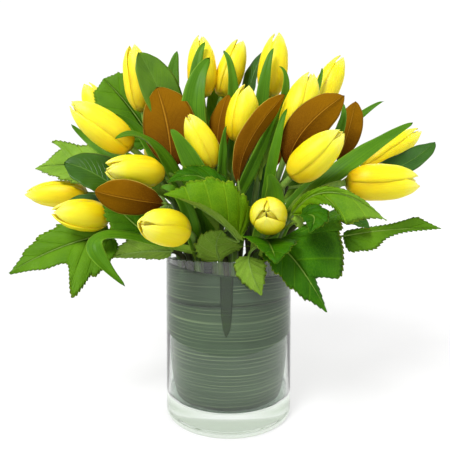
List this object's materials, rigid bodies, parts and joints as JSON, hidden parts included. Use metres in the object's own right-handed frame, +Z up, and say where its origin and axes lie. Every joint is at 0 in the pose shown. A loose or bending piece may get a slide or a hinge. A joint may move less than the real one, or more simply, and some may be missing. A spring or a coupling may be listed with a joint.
{
  "type": "tulip bouquet in a glass vase",
  "caption": "Bunch of yellow tulips with magnolia and viburnum foliage, standing in water in a clear glass cylinder vase lined with broad leaves",
  "frame": {"origin": "centre of the flat underside of the vase", "axes": "+Z up out of the vase, -Y towards the front of the arrangement as pictured, +X to the right of it"},
  "size_m": [0.3947, 0.2776, 0.3762],
  "materials": {
    "clear_glass": "clear, polished",
    "water": "clear liquid",
    "lining_leaf": "satin, finely ribbed leaf",
    "yellow_petal": "satin, soft petal",
    "tulip_green": "satin, waxy leaf and stem",
    "magnolia_leaf": "felted brown underside, glossy green top",
    "viburnum_leaf": "satin, veined leaf"
  },
  "bodies": {
    "root": {"vase": "clear_glass", "lining_leaf_lower": "lining_leaf", "lining_leaf_upper": "lining_leaf", "water": "water", "flower_back_centre": "yellow_petal", "flower_back_left": "yellow_petal", "flower_back_low": "yellow_petal", "flower_back_right": "yellow_petal", "flower_centre": "yellow_petal", "flower_far_left": "yellow_petal", "flower_far_left_back": "yellow_petal", "flower_far_right": "yellow_petal", "flower_front_centre": "yellow_petal", "flower_front_left": "yellow_petal", "flower_front_upper": "yellow_petal", "flower_left_open": "yellow_petal", "flower_left_shoulder": "yellow_petal", "flower_low_left": "yellow_petal", "flower_right_back": "yellow_petal", "flower_right_front": "yellow_petal", "flower_right_open": "yellow_petal", "flower_right_upper": "yellow_petal", "flower_top_centre": "yellow_petal", "flower_top_left": "yellow_petal", "flower_top_right": "yellow_petal", "flower_upper_left": "yellow_petal", "magnolia_back": "magnolia_leaf", "magnolia_centre": "magnolia_leaf", "magnolia_left": "magnolia_leaf", "magnolia_left_centre": "magnolia_leaf", "magnolia_right": "magnolia_leaf", "magnolia_right_centre": "magnolia_leaf", "stem_back_centre": "tulip_green", "stem_back_left": "tulip_green", "stem_back_low": "tulip_green", "stem_back_right": "tulip_green", "stem_centre": "tulip_green", "stem_far_left": "tulip_green", "stem_far_left_back": "tulip_green", "stem_far_right": "tulip_green", "stem_front_centre": "tulip_green", "stem_front_left": "tulip_green", "stem_front_upper": "tulip_green", "stem_left_open": "tulip_green", "stem_left_shoulder": "tulip_green", "stem_low_left": "tulip_green", "stem_right_back": "tulip_green", "stem_right_front": "tulip_green", "stem_right_open": "tulip_green", "stem_right_upper": "tulip_green", "stem_top_centre": "tulip_green", "stem_top_left": "tulip_green", "stem_top_right": "tulip_green", "stem_upper_left": "tulip_green", "viburnum_back": "viburnum_leaf", "viburnum_centre_front": "viburnum_leaf", "viburnum_front_right": "viburnum_leaf", "viburnum_left_back": "viburnum_leaf", "viburnum_left_front": "viburnum_leaf", "viburnum_right": "viburnum_leaf"}
  },
  "joints": []
}
